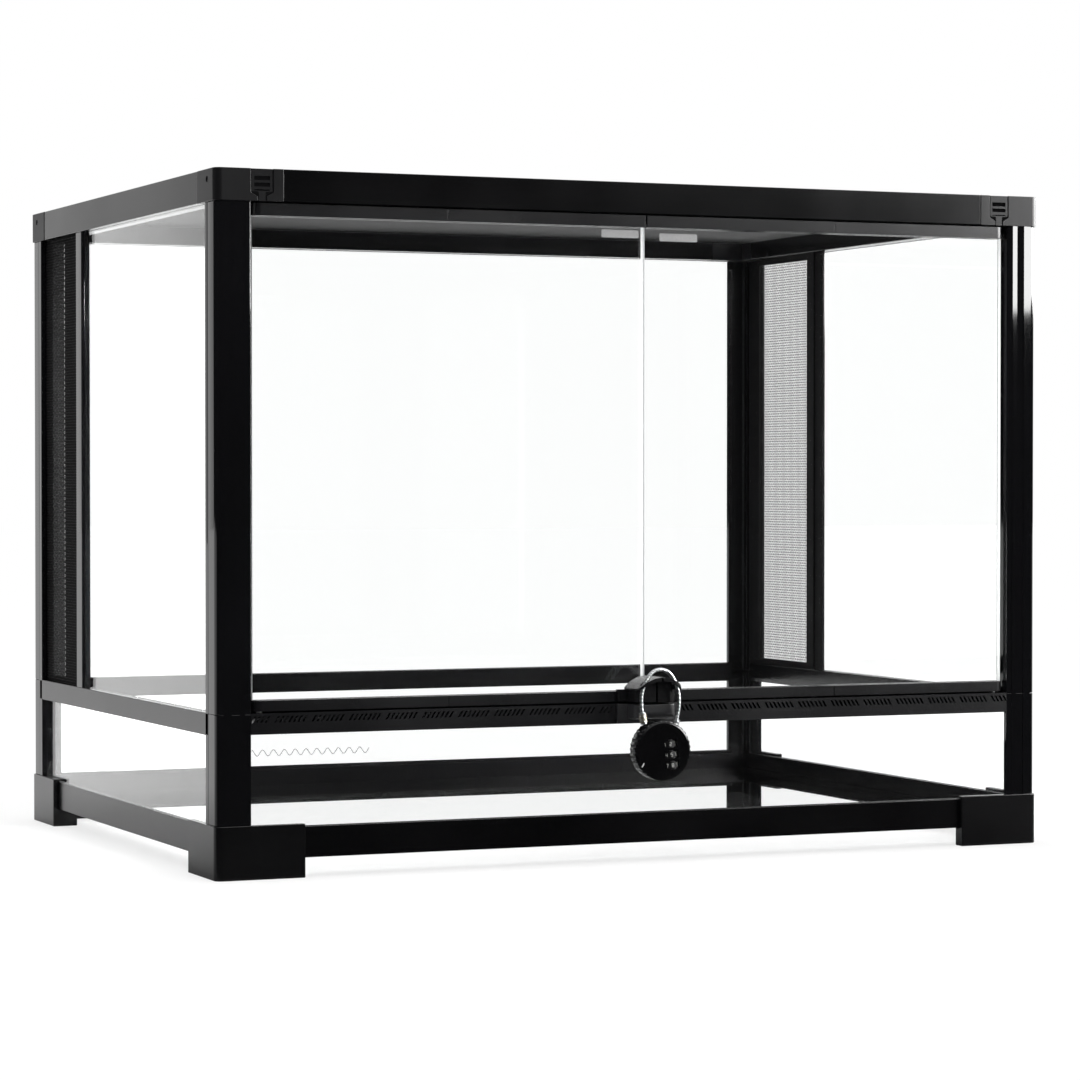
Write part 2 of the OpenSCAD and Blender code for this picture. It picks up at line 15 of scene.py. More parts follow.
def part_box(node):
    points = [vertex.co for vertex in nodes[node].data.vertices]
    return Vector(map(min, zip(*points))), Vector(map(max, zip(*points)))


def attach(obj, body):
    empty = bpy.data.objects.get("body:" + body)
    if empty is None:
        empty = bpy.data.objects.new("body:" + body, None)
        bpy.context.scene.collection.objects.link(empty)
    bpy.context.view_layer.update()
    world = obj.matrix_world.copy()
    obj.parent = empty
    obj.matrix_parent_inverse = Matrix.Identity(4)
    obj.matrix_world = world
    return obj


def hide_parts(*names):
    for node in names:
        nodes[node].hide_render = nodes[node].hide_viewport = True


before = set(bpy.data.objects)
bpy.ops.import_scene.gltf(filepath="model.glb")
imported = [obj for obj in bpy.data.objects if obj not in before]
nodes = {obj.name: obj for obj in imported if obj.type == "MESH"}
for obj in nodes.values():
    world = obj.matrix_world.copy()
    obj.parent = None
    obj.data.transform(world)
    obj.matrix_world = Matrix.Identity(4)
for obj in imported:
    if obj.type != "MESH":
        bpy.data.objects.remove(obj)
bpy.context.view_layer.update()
scene = bpy.context.scene

MM = 0.001
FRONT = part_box("vent_rail")[0].y - 0.001
BACK = FRONT + 0.440
X, Y, Z = Vector((1, 0, 0)), Vector((0, 1, 0)), Vector((0, 0, 1))


# --- Camera and studio -------------------------------------------------------------------------

CAMERA_AT = (-0.9806, -2.3028, 0.2544)
CAMERA_TURN = 23.31
CAMERA_DIP = 1.014
CAMERA_LENS = 116.3


def make_camera():
    scene.view_settings.view_transform = "Standard"
    data = bpy.data.cameras.new("camera")
    data.sensor_width = 36
    data.lens = CAMERA_LENS
    camera = bpy.data.objects.new("camera", data)
    camera.location = CAMERA_AT
    camera.rotation_euler = (math.radians(90 - CAMERA_DIP), 0, -math.radians(CAMERA_TURN))
    scene.collection.objects.link(camera)
    scene.camera = camera


class Graph:
    """A short way to write a node tree."""

    def __init__(self, tree):
        self.tree = tree
        tree.nodes.clear()

    def add(self, kind, **values):
        node = self.tree.nodes.new(kind)
        for name, value in values.items():
            if hasattr(node, name):
                setattr(node, name, value)
            else:
                self.feed(node.inputs[name.replace("_", " ")], value)
        return node

    def feed(self, socket, value):
        if isinstance(value, bpy.types.NodeSocket):
            self.tree.links.new(value, socket)
        else:
            socket.default_value = value

    def math(self, operation, *values, clamp=False):
        node = self.tree.nodes.new("ShaderNodeMath")
        node.operation = operation
        node.use_clamp = clamp
        for socket, value in zip(node.inputs, values):
            self.feed(socket, value)
        return node.outputs[0]

    def ramp(self, value, low, high, to_low=0.0, to_high=1.0, smooth=False):
        node = self.tree.nodes.new("ShaderNodeMapRange")
        node.interpolation_type = "SMOOTHSTEP" if smooth else "LINEAR"
        for socket, given in zip(node.inputs, (value, low, high, to_low, to_high)):
            self.feed(socket, given)
        return node.outputs[0]

    def mix_colour(self, factor, a, b):
        node = self.tree.nodes.new("ShaderNodeMix")
        node.data_type = "RGBA"
        self.feed(node.inputs["Factor"], factor)
        self.feed(node.inputs[6], a)
        self.feed(node.inputs[7], b)
        return node.outputs[2]

    def grey(self, value):
        node = self.tree.nodes.new("ShaderNodeCombineColor")
        for socket in node.inputs:
            self.feed(socket, value)
        return node.outputs[0]

    def add_shader(self, a, b):
        node = self.tree.nodes.new("ShaderNodeAddShader")
        self.feed(node.inputs[0], a)
        self.feed(node.inputs[1], b)
        return node.outputs[0]

    def mix_shader(self, factor, a, b):
        node = self.tree.nodes.new("ShaderNodeMixShader")
        self.feed(node.inputs[0], factor)
        self.feed(node.inputs[1], a)
        self.feed(node.inputs[2], b)
        return node.outputs[0]


# Mirror reflections see a white room that is dark in front, at eye level, and to the left
DARK_STUDIO = 0.985
LEFT_WALL = (-0.37, -0.265)
RIGHT_WALL = (0.5, 0.7)


def mirror_rays(g, rays):
    """1 for a ray that a surface has mirrored, also where it then passes through a pane."""
    once = g.math("GREATER_THAN", rays["Glossy Depth"], 0.5)
    return g.math("MULTIPLY", once, g.math("LESS_THAN", rays["Diffuse Depth"], 0.5))


def make_world():
    world = bpy.data.worlds.new("studio")
    world.use_nodes = True
    scene.world = world
    g = Graph(world.node_tree)
    direction = g.add("ShaderNodeSeparateXYZ", Vector=g.add("ShaderNodeTexCoord").outputs["Generated"])
    forward = g.ramp(g.math("MULTIPLY", direction.outputs[1], -1.0), 0.15, 0.5, smooth=True)
    level = g.ramp(direction.outputs[2], 0.25, 0.6, 1.0, 0.0, smooth=True)
    rays = g.add("ShaderNodeLightPath").outputs
    mirrored = mirror_rays(g, rays)
    leftward = g.ramp(direction.outputs[0], *LEFT_WALL, 1.0, 0.0, smooth=True)
    rightward = g.ramp(direction.outputs[0], *RIGHT_WALL, smooth=True)
    unlit = g.math("MAXIMUM", g.math("MULTIPLY", g.math("MAXIMUM", forward, rightward), level), leftward)
    strength = g.math("SUBTRACT", 1.0, g.math("MULTIPLY", g.math("MULTIPLY", unlit, mirrored), DARK_STUDIO))
    background = g.add("ShaderNodeBackground", Color=(1, 1, 1, 1), Strength=strength)
    g.add("ShaderNodeOutputWorld", Surface=background.outputs[0])


def area_light(name, at, towards, width, height, radiance, colour=(1, 1, 1), only_gloss=False):
    """A soft box; radiance is how bright its face looks in a mirror."""
    data = bpy.data.lights.new(name, "AREA")
    data.shape = "RECTANGLE"
    data.size, data.size_y = width, height
    data.energy = radiance * width * height * math.pi
    data.color = colour
    light = bpy.data.objects.new(name, data)
    light.location = at
    light.rotation_euler = (Vector(towards) - Vector(at)).to_track_quat("-Z", "Y").to_euler()
    light.visible_camera = False
    light.visible_diffuse = not only_gloss
    scene.collection.objects.link(light)
    return light


def box_from(name, corner, azimuth, distance, low, high, width, radiance, only_gloss=True):
    """An upright soft box whose mirror image starts at given elevations beside a front corner.

    azimuth is in degrees from -Y towards +X; low and high are elevations, also in degrees.
    """
    away = Vector((math.sin(math.radians(azimuth)), -math.cos(math.radians(azimuth)), 0))
    bottom = corner.z + distance * math.tan(math.radians(low))
    top = corner.z + distance * math.tan(math.radians(high))
    at = Vector((corner.x, corner.y, 0)) + away * distance + Z * (bottom + top) / 2
    area_light(name, at, at - away, width, top - bottom, radiance, only_gloss=only_gloss)


def make_lights():
    area_light("overhead", (-0.2, -1.1, 1.9), (0, 0, 0.3), 2.2, 0.35, 3.0)
    corner = Vector((0.29, FRONT, 0.37))
    box_from("right_box", corner, 74, 2.4, 3.2, 32, 3.9, 20.0)


FLOOR_HALF = 14.0
SHADOW_FILL = 0.68


def make_floor():
    """White seamless floor. In mirror reflections its front half is as dark as the studio."""
    bm = bmesh.new()
    corners = [(-1, -1), (1, -1), (1, 1), (-1, 1)]
    bm.faces.new([bm.verts.new((FLOOR_HALF * a, FLOOR_HALF * b, 0)) for a, b in corners])
    floor = finish_mesh("floor", bm, smooth=False)
    material = bpy.data.materials.new("seamless_white")
    material.use_nodes = True
    g = Graph(material.node_tree)
    place = g.add("ShaderNodeSeparateXYZ", Vector=g.add("ShaderNodeTexCoord").outputs["Object"])
    in_front = g.ramp(place.outputs[1], FRONT - 0.01, FRONT + 0.01, 1.0, 0.0)
    beside = g.ramp(place.outputs[1], FRONT, 0.45, 0.72, 0.0)
    rays = g.add("ShaderNodeLightPath").outputs
    mirrored = mirror_rays(g, rays)
    dark = g.math("MULTIPLY", g.math("MAXIMUM", in_front, beside), mirrored)
    colour = g.mix_colour(g.math("MULTIPLY", dark, DARK_STUDIO), (1, 1, 1, 1), (0, 0, 0, 1))
    lit = g.add("ShaderNodeBsdfDiffuse", Color=colour).outputs[0]
    white = g.add("ShaderNodeEmission", Color=(1, 1, 1, 1), Strength=1.0).outputs[0]
    surface = g.mix_shader(g.math("MULTIPLY", rays["Is Camera Ray"], SHADOW_FILL), lit, white)
    g.add("ShaderNodeOutputMaterial", Surface=surface)
    floor.data.materials.append(material)


# --- Mesh helpers ------------------------------------------------------------------------------


def finish_mesh(name, bm, smooth=True):
    bmesh.ops.recalc_face_normals(bm, faces=bm.faces[:])
    for face in bm.faces:
        face.smooth = smooth
    mesh = bpy.data.meshes.new(name)
    bm.to_mesh(mesh)
    bm.free()
    piece = bpy.data.objects.new(name, mesh)
    scene.collection.objects.link(piece)
    return piece


def add_block(bm, low, high):
    matrix = Matrix.Translation((Vector(low) + Vector(high)) / 2)
    size = Vector(high) - Vector(low)
    bmesh.ops.create_cube(bm, size=1, matrix=matrix @ Matrix.Diagonal((*size, 1)))


def add_tube(bm, path, radius, sides=8, caps=True, start_angle=0.0, up=None):
    """A tube along a list of points, with its rings kept from twisting."""
    rings = []
    side = None
    for i, point in enumerate(path):
        ahead = path[min(i + 1, len(path) - 1)] - path[max(i - 1, 0)]
        ahead.normalize()
        if side is None:
            side = ahead.cross(up or (Z if abs(ahead.z) < 0.9 else X)).normalized()
        else:
            side = (side - ahead * side.dot(ahead)).normalized()
        other = ahead.cross(side)
        turns = (start_angle + 2 * math.pi * k / sides for k in range(sides))
        rings.append([bm.verts.new(point + (side * math.cos(a) + other * math.sin(a)) * radius) for a in turns])
    for a, b in zip(rings, rings[1:]):
        for k in range(sides):
            bm.faces.new((a[k], a[(k + 1) % sides], b[(k + 1) % sides], b[k]))
    if caps:
        bm.faces.new(rings[0][::-1])
        bm.faces.new(rings[-1])


def soften(piece, width, segments=2, angle=30):
    """Rounds a piece's sharp edges with modifiers, and leaves its mesh as it is."""
    weld = piece.modifiers.new("weld", "WELD")
    weld.merge_threshold = 1e-6
    flat = piece.modifiers.new("flat", "DECIMATE")
    flat.decimate_type = "DISSOLVE"
    flat.angle_limit = math.radians(0.5)
    bevel = piece.modifiers.new("bevel", "BEVEL")
    bevel.limit_method = "ANGLE"
    bevel.angle_limit = math.radians(angle)
    bevel.width = width
    bevel.segments = segments
    bevel.miter_outer = "MITER_ARC"
    piece.modifiers.new("normals", "WEIGHTED_NORMAL").weight = 90


def dress(piece, material):
    piece.data.materials.clear()
    piece.data.materials.append(material)


# --- Materials ---------------------------------------------------------------------------------


def new_material(name):
    material = bpy.data.materials.new(name)
    material.use_nodes = True
    return material, Graph(material.node_tree)


def plastic(name, colour, roughness, grain, grain_depth, spread=0.25, specular=0.5, smudge=0.05, paint=None):
    """Moulded or extruded plastic: fine grain in the relief, slow drift in tone and gloss.

    paint gives a mask and the matt colour that shows where it is 1: a printed mark on the padlock, and painted shade
    in the slider's grooves and gaps.
    """
    material, g = new_material(name)
    place = g.add("ShaderNodeTexCoord").outputs["Object"]
    drift = g.add("ShaderNodeTexNoise", Vector=place, Scale=9.0, Detail=3.0).outputs["Fac"]
    fine = g.add("ShaderNodeTexNoise", Vector=place, Scale=grain, Detail=2.0).outputs["Fac"]
    darker = [c * (1 - spread) for c in colour] + [1]
    lighter = [c * (1 + spread) for c in colour] + [1]
    tone = g.mix_colour(g.ramp(drift, 0.3, 0.7), darker, lighter)
    gloss = g.ramp(g.math("ADD", drift, g.math("MULTIPLY", fine, 0.3)), 0.35, 0.95, roughness - smudge, roughness + smudge)
    bump = g.add("ShaderNodeBump", Height=fine, Strength=1.0, Distance=grain_depth)
    shader = g.add("ShaderNodeBsdfPrincipled", Base_Color=tone, Roughness=gloss, Normal=bump.outputs[0])
    shader.inputs["Specular IOR Level"].default_value = specular
    surface = shader.outputs[0]
    if paint:
        mask, under = paint
        surface = g.mix_shader(mask(g, place), surface, g.add("ShaderNodeBsdfDiffuse", Color=(*under, 1)).outputs[0])
    g.add("ShaderNodeOutputMaterial", Surface=surface)
    return material


def parts_of(g, place):
    return g.add("ShaderNodeSeparateXYZ", Vector=place).outputs


SLIDE_X = 0.2685
SLIDE_LOW = 0.435
SLIDE_HALF = 7.25 * MM
STEM_HALF = 2.75 * MM
SHADE_LINE_W = 0.45 * MM


def slider_painted_shade(g, place):
    """Painted shade: 1 in a hinge slider's grip grooves and along its outline, where a dark matt colour stands in for
    the shade in the grooves and in the gap round it.
    """
    x, y, z = (parts_of(g, place)[i] for i in range(3))
    deep = g.math("GREATER_THAN", y, FRONT + 0.7 * MM)
    off = g.math("ABSOLUTE", g.math("SUBTRACT", g.math("ABSOLUTE", x), SLIDE_X))
    is_stem = g.math("LESS_THAN", z, SLIDE_LOW)
    half = g.math("SUBTRACT", SLIDE_HALF - SHADE_LINE_W, g.math("MULTIPLY", is_stem, SLIDE_HALF - STEM_HALF))
    side = g.math("GREATER_THAN", off, half)
    low = g.math("MULTIPLY", g.math("LESS_THAN", z, SLIDE_LOW + SHADE_LINE_W), g.math("GREATER_THAN", off, STEM_HALF))
    low = g.math("MULTIPLY", low, g.math("SUBTRACT", 1.0, is_stem))
    return g.math("MAXIMUM", deep, g.math("MAXIMUM", side, low))


LOCK_MARK = (-0.0152, 0.0663)
LOCK_MARK_TURN = 28
LOCK_MARK_HALF = (0.35 * MM, 1.5 * MM)
LOCK_FACE = FRONT - 0.0255


def lock_mark(g, place):
    """1 on the short slanted mark near the edge of the padlock's face."""
    x, y, z = (parts_of(g, place)[i] for i in range(3))
    x, z = g.math("SUBTRACT", x, LOCK_MARK[0]), g.math("SUBTRACT", z, LOCK_MARK[1])
    c, s = math.cos(math.radians(LOCK_MARK_TURN)), math.sin(math.radians(LOCK_MARK_TURN))
    across = g.math("SUBTRACT", g.math("MULTIPLY", x, c), g.math("MULTIPLY", z, s))
    along = g.math("ADD", g.math("MULTIPLY", x, s), g.math("MULTIPLY", z, c))
    inside = [g.math("LESS_THAN", g.math("ABSOLUTE", v), h) for v, h in zip((across, along), LOCK_MARK_HALF)]
    return g.math("MULTIPLY", g.math("MULTIPLY", *inside), g.math("LESS_THAN", y, LOCK_FACE))


def metal(name, colour, roughness, grain, grain_depth, strand=0.0):
    """Metal with a fine grain. strand is the pitch of a rope's twisted wires, whose grooves get painted shade."""
    material, g = new_material(name)
    place = g.add("ShaderNodeTexCoord").outputs["Object"]
    fine = g.add("ShaderNodeTexNoise", Vector=place, Scale=grain, Detail=3.0).outputs["Fac"]
    tone = g.mix_colour(fine, [c * 0.82 for c in colour] + [1], [min(1, c * 1.12) for c in colour] + [1])
    gloss = g.ramp(fine, 0.3, 0.7, roughness * 0.75, roughness * 1.3)
    height, depth = fine, grain_depth
    if strand:
        twist = g.add("ShaderNodeTexWave", Vector=place, Scale=math.pi / 10 / strand, Distortion=0.6)
        twist.bands_direction = "DIAGONAL"
        height, depth = twist.outputs["Fac"], 0.12 * strand
        # Painted shade: the colour darkens to half in the grooves between the rope's twisted wires.
        tone = g.mix_colour(height, [c * 0.5 for c in colour] + [1], tone)
    bump = g.add("ShaderNodeBump", Height=height, Strength=1.0, Distance=depth)
    shader = g.add("ShaderNodeBsdfPrincipled", Base_Color=tone, Roughness=gloss, Normal=bump.outputs[0])
    shader.inputs["Metallic"].default_value = 1.0
    g.add("ShaderNodeOutputMaterial", Surface=shader.outputs[0])
    return material


GLASS_IOR = 1.52
# How steeply a lying pane turns from clear to mirror as it is seen at a lower angle
LYING_POWER = 2.4


def glass(name, thin, tint, edge_colour, kind="clear"):
    """A pane that is thin along one axis, with narrow ground edges.

    A clear one shows what is behind it unbent and a bending one shifts it; both add the mirror image
    of the room. A lying one trades what is under it for the mirror image as it is seen lower.
    """
    material, g = new_material(name)
    texture = g.add("ShaderNodeTexCoord")
    place = texture.outputs["Object"]
    facing = parts_of(g, texture.outputs["Normal"])[thin]
    is_edge = g.math("LESS_THAN", g.math("ABSOLUTE", facing), 0.5)
    bend = GLASS_IOR
    if kind != "bending":
        back_face = g.add("ShaderNodeNewGeometry").outputs["Backfacing"]
        bend = g.ramp(back_face, 0, 1, GLASS_IOR, 1 / GLASS_IOR)
    fresnel = g.add("ShaderNodeFresnel", IOR=bend).outputs[0]
    cloud = g.add("ShaderNodeTexNoise", Vector=place, Scale=7.0, Detail=4.0).outputs["Fac"]
    speck = g.add("ShaderNodeTexNoise", Vector=place, Scale=900.0, Detail=1.0).outputs["Fac"]
    specks = g.math("MULTIPLY", g.ramp(speck, 0.68, 0.74), g.ramp(cloud, 0.4, 0.7))
    film = g.math("MULTIPLY", g.math("ADD", g.ramp(cloud, 0.35, 0.75), g.math("MULTIPLY", specks, 4.0)), 0.0006)
    clear = g.add("ShaderNodeBsdfTransparent", Color=(*tint, 1)).outputs[0]
    if kind == "bending":
        rays = g.add("ShaderNodeLightPath").outputs
        unseen = g.math("MAXIMUM", rays["Is Shadow Ray"], rays["Is Diffuse Ray"])
        bent = g.add("ShaderNodeBsdfRefraction", Color=(*tint, 1), Roughness=0.0, IOR=GLASS_IOR).outputs[0]
        clear = g.mix_shader(unseen, bent, clear)
    if kind == "lying":
        through = g.math("POWER", g.math("SUBTRACT", 1.0, fresnel), LYING_POWER)
        mirror = g.add("ShaderNodeBsdfAnisotropic", Color=(1, 1, 1, 1), Roughness=0.0).outputs[0]
        both = g.mix_shader(through, mirror, clear)
    else:
        mirror = g.add("ShaderNodeBsdfAnisotropic", Color=g.grey(fresnel), Roughness=0.0).outputs[0]
        both = g.add_shader(clear, mirror)
    haze = g.add("ShaderNodeBsdfDiffuse", Color=(0.9, 0.9, 0.9, 1)).outputs[0]
    pane = g.mix_shader(film, both, haze)
    scatter = g.ramp(g.add("ShaderNodeTexNoise", Vector=place, Scale=400.0).outputs["Fac"], 0.3, 0.7, 0.8, 1.0)
    ground = g.mix_colour(scatter, [c * 0.8 for c in edge_colour] + [1], list(edge_colour) + [1])
    edge = g.add("ShaderNodeBsdfDiffuse", Color=ground).outputs[0]
    g.add("ShaderNodeOutputMaterial", Surface=g.mix_shader(is_edge, pane, edge))
    return material


def print_on(name, colour, cover=1.0):
    """Thin print or film: a little uneven, and see-through where cover is under 1."""
    material, g = new_material(name)
    place = g.add("ShaderNodeTexCoord").outputs["Object"]
    patchy = g.ramp(g.add("ShaderNodeTexNoise", Vector=place, Scale=1500.0).outputs["Fac"], 0.3, 0.7, 0.85, 1.0)
    tone = g.mix_colour(patchy, [c * 0.8 for c in colour] + [1], list(colour) + [1])
    ink = g.add("ShaderNodeBsdfDiffuse", Color=tone).outputs[0]
    clear = g.add("ShaderNodeBsdfTransparent", Color=(1, 1, 1, 1)).outputs[0]
    surface = g.mix_shader(g.math("MULTIPLY", patchy, cover), clear, ink)
    g.add("ShaderNodeOutputMaterial", Surface=surface)
    return material


make_camera()
make_world()
make_lights()
make_floor()

GLOSS_BLACK = plastic("gloss_black_plastic", (0.0036, 0.0036, 0.0042), 0.04, 2600, 0.0000004, smudge=0.012)
RAIL_BLACK = plastic("satin_black_plastic", (0.0014, 0.0014, 0.0018), 0.19, 3200, 0.000005, specular=0.4)
FOOT_BLACK = plastic("foot_black_plastic", (0.0032, 0.0032, 0.0036), 0.19, 2400, 0.000007, specular=0.45)
CORNER_BLACK = plastic("corner_black_plastic", (0.0040, 0.0040, 0.0048), 0.34, 2000, 0.000012, specular=0.30)
STRIP_BLACK = plastic("strip_black_plastic", (0.0042, 0.0042, 0.0052), 0.27, 3000, 0.000010)
HANDLE_BLACK = plastic("handle_black_plastic", (0.0045, 0.0045, 0.0052), 0.24, 2800, 0.000010, specular=0.4)
CATCH_BLACK = plastic("catch_black_plastic", (0.0170, 0.0170, 0.0185), 0.35, 2800, 0.000010, specular=0.4)
LOCK_BLACK = plastic("lock_black_plastic", (0.0026, 0.0026, 0.0030), 0.14, 2800, 0.000004, specular=0.28,
                     paint=(lock_mark, (0.55, 0.55, 0.55)))
# The slider's mask and matt colour are painted shade in its grip grooves and along the gap round it.
SLIDER_BLACK = plastic("slider_black_plastic", (0.0040, 0.0040, 0.0048), 0.34, 2000, 0.000012, specular=0.30,
                       paint=(slider_painted_shade, (0.0055, 0.0055, 0.0058)))
VENT_FRAME = plastic("vent_frame_plastic", (0.0050, 0.0050, 0.0054), 0.5, 2400, 0.000012, specular=0.04)
WIRE_BLACK = plastic("mesh_wire_coating", (0.010, 0.010, 0.0105), 0.45, 5000, 0.000005, specular=0.4)
# Painted light: a lighter copy of the mesh wire coating, for the lid's wires, whose underside is lit from below.
LID_WIRE_LIT = plastic("lid_wire_painted_light", (0.030, 0.030, 0.031), 0.45, 5000, 0.000005, specular=0.4)
PIN_STEEL = metal("pin_steel_brushed", (0.55, 0.55, 0.56), 0.3, 3000, 0.000003)
CABLE_STEEL = metal("cable_wire", (0.74, 0.75, 0.77), 0.3, 6000, 0.000003, strand=1.3 * MM)
SCREW_DARK = metal("screw_dark_steel", (0.10, 0.10, 0.105), 0.35, 4000, 0.000002)
BRASS = metal("spring_brass", (0.60, 0.54, 0.40), 0.25, 4000, 0.000002)
DIAL_BLACK = plastic("dial_black_plastic", (0.004, 0.004, 0.0044), 0.3, 3000, 0.000006)
DIAL_WHITE = print_on("dial_number_white", (0.45, 0.45, 0.43))
LABEL_FILM = print_on("label_film", (0.62, 0.62, 0.62), 0.42)
WAVE_GREY = print_on("level_line_grey", (0.3, 0.3, 0.3), 0.8)
CLEAR = (0.992, 0.9945, 0.9935)
SEALED_EDGE = (0.012, 0.013, 0.013)
PANES = {
    "door": glass("door_pane", 1, CLEAR, (0.96, 0.97, 0.97)),
    "front": glass("fixed_pane_y", 1, CLEAR, SEALED_EDGE),
    "side": glass("fixed_pane_x", 0, CLEAR, SEALED_EDGE, "bending"),
    "base": glass("base_pane", 2, CLEAR, SEALED_EDGE, "lying"),
}
PANE_OF = [("door_glass", "door"), ("lower_glass_front", "front"), ("lower_glass_back", "front"),
           ("back_glass", "front"), ("side_glass", "side"), ("lower_glass", "side"), ("base_glass", "base")]

BY_NAME = [
    ("door_handle", HANDLE_BLACK, 0.5),
    ("door", STRIP_BLACK, 0.35),
    ("catch_block", CATCH_BLACK, 0.4),
    ("upper_post", GLOSS_BLACK, 0.5),
    ("lower_post", GLOSS_BLACK, 0.5),
    ("divider", GLOSS_BLACK, 0.4),
    ("foot", FOOT_BLACK, 0.6),
    ("top_corner", CORNER_BLACK, 0.35),
    ("hinge_slider", SLIDER_BLACK, 0),
    ("top_rail", RAIL_BLACK, 0.5),
    ("mid_rail", RAIL_BLACK, 0.5),
    ("bottom_rail", RAIL_BLACK, 0.5),
    ("vent_rail", STRIP_BLACK, 0),
    ("lid_frame", RAIL_BLACK, 0.5),
    ("lid_mesh", WIRE_BLACK, 0),
    ("side_mesh", WIRE_BLACK, 0),
    ("lower_hinge_pins", PIN_STEEL, 0.2),
    ("padlock_cable", CABLE_STEEL, 0),
    ("padlock", LOCK_BLACK, 0.3),
    ("dial", DIAL_BLACK, 0.3),
]


def dress_nodes():
    for name, node in nodes.items():
        if "glass" in name:
            material, width = PANES[next(kind for start, kind in PANE_OF if name.startswith(start))], 0
        else:
            material, width = next((m, w) for start, m, w in BY_NAME if name.startswith(start))
        dress(node, material)
        if width:
            soften(node, width * MM)


dress_nodes()


def finish_piece(name, bm, body, material, smooth=False):
    piece = finish_mesh(name, bm, smooth)
    dress(piece, material)
    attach(piece, body)
    return piece


def blocks_piece(name, blocks, body, material, bevel):
    bm = bmesh.new()
    for low, high in blocks:
        add_block(bm, low, high)
    piece = finish_piece(name, bm, body, material)
    if bevel:
        soften(piece, bevel)
    return piece


# --- Woven mesh --------------------------------------------------------------------------------

WIRE_PITCH = 2.0 * MM
WIRE_T = 0.42 * MM


def add_wire(bm, start, along, out, length, count, phase, thickness, woven):
    """One square wire from start. A woven one steps over and under the wires that it crosses."""
    side = along.cross(out)
    half = thickness / 2
    steps = [(k, length * k / count) for k in range(count + 1)] if woven else [(0, 0.0), (0, length)]
    rings = []
    for k, at in steps:
        lift = half * (1 if (k + phase) % 2 else -1) if woven else 0
        middle = start + along * at + out * lift
        corners = ((1, 0), (0, 1), (-1, 0), (0, -1))
        rings.append([bm.verts.new(middle + side * (a * half) + out * (b * half)) for a, b in corners])
    for a, b in zip(rings, rings[1:]):
        for k in range(4):
            bm.faces.new((a[k], a[(k + 1) % 4], b[(k + 1) % 4], b[k]))
    bm.faces.new(rings[0][::-1])
    bm.faces.new(rings[-1])


def wire_cloth(name, low, high, out, woven, body, node):
    """Wire cloth that fills a thin box, whose thin direction is out."""
    low, high = Vector(low), Vector(high)
    size = high - low
    u, v = [axis for axis in (X, Y, Z) if abs(axis.dot(out)) < 0.5]
    middle = (low + high) / 2
    corner = Vector([middle[i] if out[i] else low[i] for i in range(3)])
    bm = bmesh.new()
    for along, across in ((u, v), (v, u)):
        length, width = size.dot(along), size.dot(across)
        count, crossed = round(width / WIRE_PITCH), round(length / WIRE_PITCH)
        layer = out * (WIRE_T / 2 * (1 if along is u else -1)) * (0 if woven else 1)
        for i in range(1, count):
            start = corner + across * (width * i / count) + layer
            phase = i if along is u else i + 1
            add_wire(bm, start, along, out, length, crossed, phase, WIRE_T, woven)
    piece = finish_mesh(name, bm)
    # The lid's wires take the lighter copy of the coating, which is painted light.
    dress(piece, LID_WIRE_LIT if body == "mesh_top" else WIRE_BLACK)
    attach(piece, body)
    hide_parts(node)
    return piece


SHEET_T = 1.0 * MM
VENT_BORDER = 5.7 * MM
VENT_BACK_BORDER = 17.5 * MM
VENT_LOW = 0.110
VENT_TOP = 0.425
# The photograph shows the left vent dark all over
# Painted shade: the wider left borders put the dark, nearly unreflecting frame behind most of that vent's wire.
VENT_LEFT_BORDER = 51.5 * MM
VENT_LEFT_BACK_BORDER = 27.0 * MM


def side_vent(side, word):
    """Woven wire over the whole outer face of a side vent, with its plastic frame behind it."""
    node = "side_mesh_" + word
    low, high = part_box(node)
    outer, inner = (high.x, low.x) if side > 0 else (low.x, high.x)
    middle = outer - side * SHEET_T / 2
    sheet = sorted((outer, outer - side * SHEET_T))
    cloth_low, cloth_high = (sheet[0], low.y, low.z), (sheet[1], high.y, high.z)
    wire_cloth(node + "_wires", cloth_low, cloth_high, X * side, True, "case", node)
    x0, x1 = sorted((middle - side * WIRE_T, inner))
    y0 = low.y + (VENT_BORDER if side > 0 else VENT_LEFT_BORDER)
    y1 = high.y - (VENT_BACK_BORDER if side > 0 else VENT_LEFT_BACK_BORDER)
    around = [
        ((x0, low.y, low.z), (x1, y0, high.z)),
        ((x0, y1, low.z), (x1, high.y, high.z)),
        ((x0, y0, low.z), (x1, y1, VENT_LOW)),
        ((x0, y0, VENT_TOP), (x1, y1, high.z)),
    ]
    frame_piece = blocks_piece(node + "_frame", around, "case", VENT_FRAME, 0)
    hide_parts(node)


side_vent(-1, "left")
side_vent(1, "right")


def lid_cloth():
    low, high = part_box("lid_mesh")
    inset = Vector((1, 1, 0)) * MM
    wire_cloth("lid_wires", low + inset, high - inset, Z, False, "mesh_top", "lid_mesh")


lid_cloth()

# --- Trim round the doors ----------------------------------------------------------------------

LIP_V = (0.0144, 0.0158)
LIP_END = 0.276
POST_INNER_WALL = (0.276, 0.279)
BEAD_H = 2.4 * MM
# Cover strips over the front edges of the side panes
FLANGE_IN = 0.2952
POST_DEPTH = 0.018
FLANGE_W = 5.8 * MM
POST_WALL_V = (0.005, 0.015)


